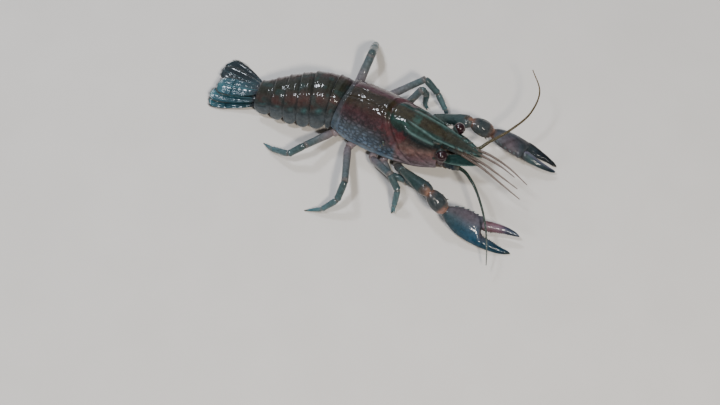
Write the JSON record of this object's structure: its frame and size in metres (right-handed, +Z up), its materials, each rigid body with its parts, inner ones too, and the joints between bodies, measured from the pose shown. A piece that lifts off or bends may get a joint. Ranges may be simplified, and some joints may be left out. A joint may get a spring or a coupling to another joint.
{
  "type": "crayfish",
  "caption": "Freshwater crayfish with a keeled head, slim claws, long feelers, jointed legs, ringed abdomen and half-closed tail fan, standing on the floor.",
  "frame": {"origin": "middle of the bounding box at floor level, on the floor under the thorax", "axes": "+X the way the head points, +Y the animal's left, +Z up"},
  "size_m": [0.0848, 0.0534, 0.015],
  "materials": {
    "shell": "wet shell, glossy, olive and maroon above with blue-grey pebbled sides",
    "tail_shell": "wet shell, glossy, olive with maroon and teal patches, grey-blue lower lobes",
    "tail_fan": "wet shell, very glossy, teal",
    "limb": "wet shell, glossy, grey teal with orange and pink joints",
    "claw": "wet shell, glossy, mauve grey above, blue teal below, dark blue fingertips",
    "feeler": "ringed horny feeler, olive brown, satin",
    "underside": "pale grey pink shell and mouth limbs, wet",
    "eye": "black cornea, mirror-smooth and wet"
  },
  "bodies": {
    "root": {"abdomen_1": "tail_shell", "abdomen_2": "tail_shell", "abdomen_3": "tail_shell", "abdomen_4": "tail_shell", "abdomen_5": "tail_shell", "abdomen_6": "tail_shell", "antenna_base_left": "limb", "antenna_base_right": "limb", "antenna_far_left": "feeler", "antenna_far_right": "feeler", "antenna_near_left": "feeler", "antenna_near_right": "feeler", "antennal_scale_left": "limb", "antennal_scale_right": "limb", "antennule_left": "feeler", "antennule_right": "feeler", "carapace": "shell", "cheliped_left_base": "limb", "cheliped_left_carpus": "limb", "cheliped_left_dactyl": "claw", "cheliped_left_merus": "limb", "cheliped_left_propodus": "claw", "cheliped_right_base": "limb", "cheliped_right_carpus": "limb", "cheliped_right_dactyl": "claw", "cheliped_right_merus": "limb", "cheliped_right_propodus": "claw", "eye_left": "eye", "eye_right": "eye", "eyestalk_left": "limb", "eyestalk_right": "limb", "leg_left_2_lower": "limb", "leg_left_2_upper": "limb", "leg_left_3_lower": "limb", "leg_left_3_upper": "limb", "leg_left_4_lower": "limb", "leg_left_4_upper": "limb", "leg_left_5_lower": "limb", "leg_left_5_upper": "limb", "leg_right_2_lower": "limb", "leg_right_2_upper": "limb", "leg_right_3_lower": "limb", "leg_right_3_upper": "limb", "leg_right_4_lower": "limb", "leg_right_4_upper": "limb", "leg_right_5_lower": "limb", "leg_right_5_upper": "limb", "maxilliped_left": "underside", "maxilliped_right": "underside", "telson": "tail_fan", "thorax_underside": "underside", "uropod_inner_left": "tail_fan", "uropod_inner_right": "tail_fan", "uropod_outer_left": "tail_fan", "uropod_outer_right": "tail_fan"}
  },
  "joints": []
}
